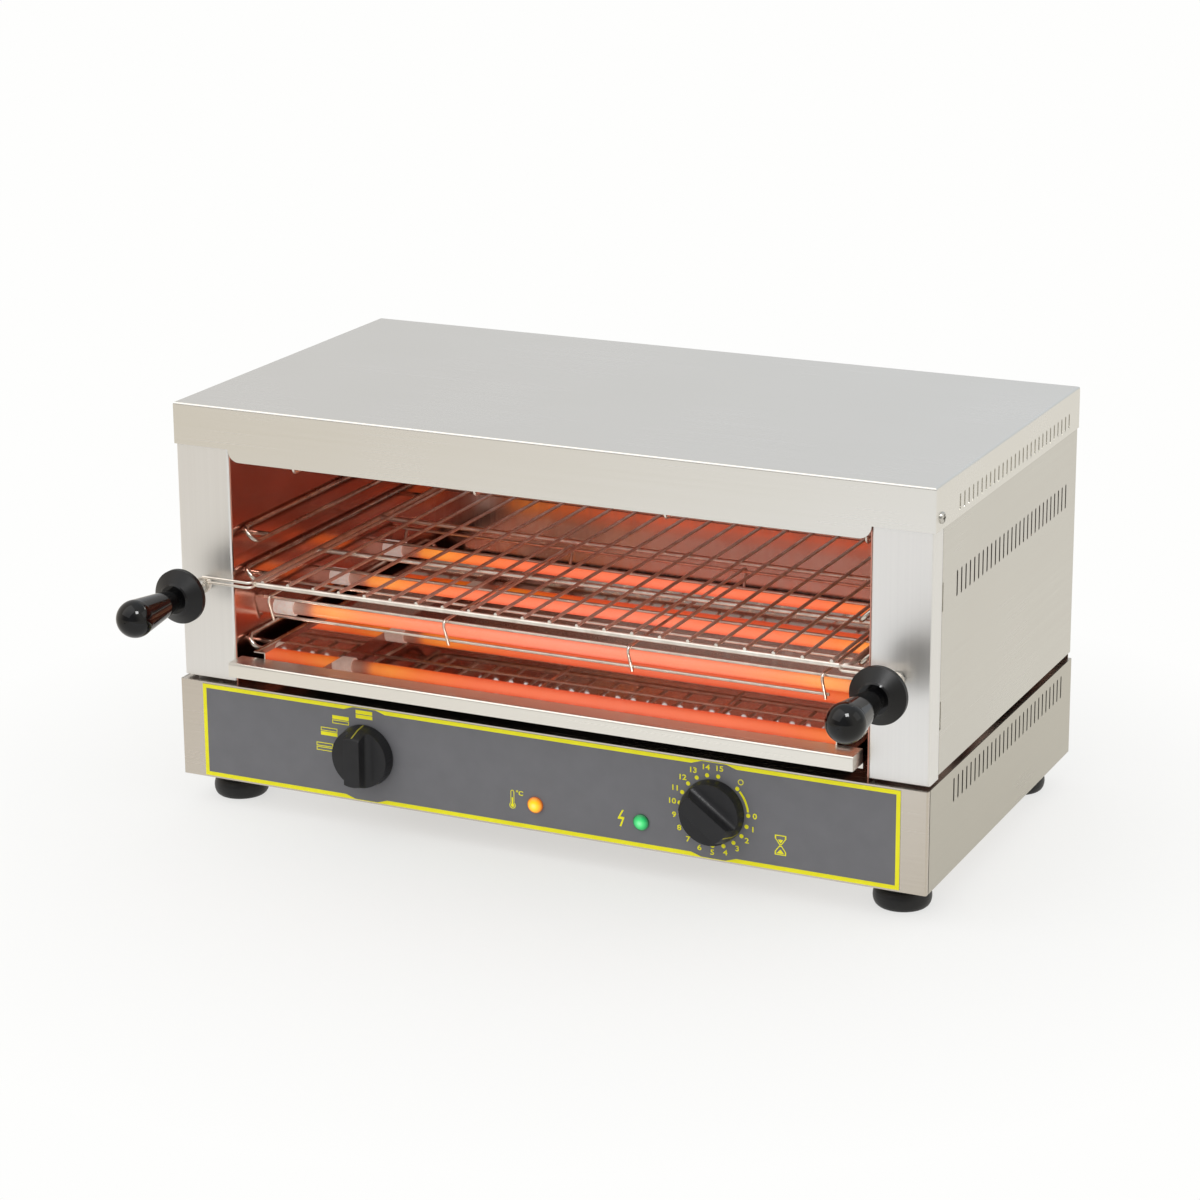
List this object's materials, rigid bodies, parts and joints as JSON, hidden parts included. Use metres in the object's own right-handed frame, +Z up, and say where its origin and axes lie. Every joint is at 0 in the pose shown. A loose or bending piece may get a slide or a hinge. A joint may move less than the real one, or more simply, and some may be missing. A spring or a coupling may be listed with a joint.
{
  "type": "salamander grill",
  "caption": "Counter-top salamander grill: open-fronted steel cabinet with quartz tubes above and below a sliding wire grid with handles, crumb tray and a control panel.",
  "frame": {"origin": "on the floor, under the middle of the whole outline with the handles and the cable gland", "axes": "+Z up, +X to the right as seen from the front, the open front faces -Y"},
  "size_m": [0.644, 0.4774, 0.334],
  "materials": {
    "brushed_stainless": "brushed satin stainless sheet",
    "polished_stainless": "bright polished stainless sheet",
    "stainless_wire": "bright drawn wire",
    "quartz": "satin quartz, glowing",
    "ceramic": "white unglazed steatite",
    "heating_wire": "oxidised wire",
    "bakelite": "moulded, glossy",
    "bright_steel": "zinc plated",
    "printed_overlay": "printed film, grey with a yellow border",
    "knob_plastic": "moulded, satin",
    "switch_plastic": "moulded",
    "gland_plastic": "moulded",
    "amber_lens": "moulded lens, lit",
    "green_lens": "moulded lens, lit",
    "foot_rubber": "moulded"
  },
  "bodies": {
    "cabinet": {"hood": "brushed_stainless", "left_post": "brushed_stainless", "right_post": "brushed_stainless", "left_side_panel": "brushed_stainless", "right_side_panel": "brushed_stainless", "rear_panel": "brushed_stainless", "base_front": "brushed_stainless", "base_left_side": "brushed_stainless", "base_right_side": "brushed_stainless", "base_rear": "brushed_stainless", "base_top_plate": "brushed_stainless", "base_bottom_plate": "brushed_stainless", "left_inner_wall": "polished_stainless", "right_inner_wall": "polished_stainless", "ceiling_reflector": "polished_stainless", "left_runners": "stainless_wire", "right_runners": "stainless_wire", "lower_guard": "stainless_wire", "upper_guard": "stainless_wire", "lower_front_tube": "quartz", "lower_middle_tube": "quartz", "lower_rear_tube": "quartz", "upper_front_tube": "quartz", "upper_middle_tube": "quartz", "upper_rear_tube": "quartz", "lower_tube_caps": "ceramic", "upper_tube_caps": "ceramic", "lower_heating_coils": "heating_wire", "upper_heating_coils": "heating_wire", "selector_nut": "bright_steel", "timer_nut": "bright_steel", "foot_screws": "bright_steel", "foot_nuts": "bright_steel", "hood_screws": "bright_steel", "rear_panel_screws": "bright_steel", "control_overlay": "printed_overlay", "selector_switch": "switch_plastic", "timer": "switch_plastic", "lamp_housings": "switch_plastic", "terminal_block": "switch_plastic", "cable_gland": "gland_plastic", "gland_nut": "gland_plastic", "amber_lamp_lens": "amber_lens", "green_lamp_lens": "green_lens", "front_left_foot": "foot_rubber", "front_right_foot": "foot_rubber", "rear_left_foot": "foot_rubber", "rear_right_foot": "foot_rubber"},
    "grid": {"grid_rack": "stainless_wire", "left_handle": "bakelite", "right_handle": "bakelite", "handle_studs": "bright_steel", "handle_nuts": "bright_steel"},
    "tray": {"crumb_tray": "polished_stainless"},
    "selector": {"selector_knob": "knob_plastic", "selector_shaft": "bright_steel"},
    "timer_dial": {"timer_knob": "knob_plastic", "timer_shaft": "bright_steel"}
  },
  "joints": [
    {"name": "grid_slide", "type": "slide", "parent": "cabinet", "child": "grid", "axis": [0, -1, 0], "range_m": [0, 0.22]},
    {"name": "tray_slide", "type": "slide", "parent": "cabinet", "child": "tray", "axis": [0, -1, 0], "range_m": [0, 0.26]},
    {"name": "selector_turn", "type": "hinge", "parent": "cabinet", "child": "selector", "pos_m": [-0.15, -0.12367, 0.0645], "axis": [0, -1, 0], "range_deg": [0, 90]},
    {"name": "timer_turn", "type": "hinge", "parent": "cabinet", "child": "timer_dial", "pos_m": [0.15, -0.12367, 0.0645], "axis": [0, -1, 0], "range_deg": [-241, 83]}
  ]
}
